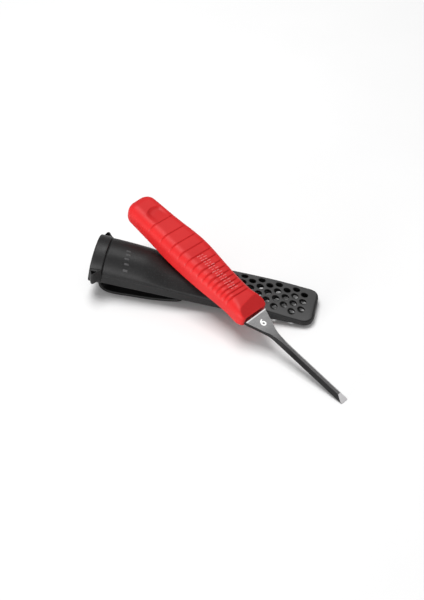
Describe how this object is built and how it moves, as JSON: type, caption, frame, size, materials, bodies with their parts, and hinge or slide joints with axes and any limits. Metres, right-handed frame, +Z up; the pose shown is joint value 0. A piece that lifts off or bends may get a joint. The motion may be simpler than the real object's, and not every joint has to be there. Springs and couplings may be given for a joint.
{
  "type": "narrow chisel scraper with belt sheath",
  "caption": "Narrow bevel-edged steel chisel with a ribbed moulded handle, lying across its tapered perforated belt sheath with a mouth collar and a springy belt clip underneath.",
  "frame": {"origin": "centre of the bounding box at its base, on the surface the set lies on", "axes": "+X along the sheath from its mouth to its toe, +Z up, +Y away from the chisel's edge"},
  "size_m": [0.2034, 0.1248, 0.0565],
  "materials": {
    "steel": "satin ground steel",
    "numeral_white": "flat white paint fill",
    "red_plastic": "satin moulded polypropylene",
    "black_plastic": "satin moulded polypropylene",
    "collar_plastic": "satin moulded polypropylene",
    "clip_plastic": "satin moulded polypropylene"
  },
  "bodies": {
    "clip": {"belt_clip": "clip_plastic"},
    "sheath": {"sheath_shell": "black_plastic", "mouth_collar": "collar_plastic"},
    "tool": {"blade": "steel", "handle": "red_plastic", "size_numeral": "numeral_white"}
  },
  "joints": [
    {"name": "clip_flex", "type": "hinge", "parent": "clip", "child": "sheath", "pos_m": [-0.09377, 0.01976, 0.0118], "axis": [0, -1, 0], "range_deg": [0, 10], "stiffness_Nm_per_rad": 4, "springref_deg": -2.86},
    {"name": "tool_lift", "type": "slide", "parent": "sheath", "child": "tool", "axis": [0, 0, 1], "range_m": [0, 0.1]}
  ]
}
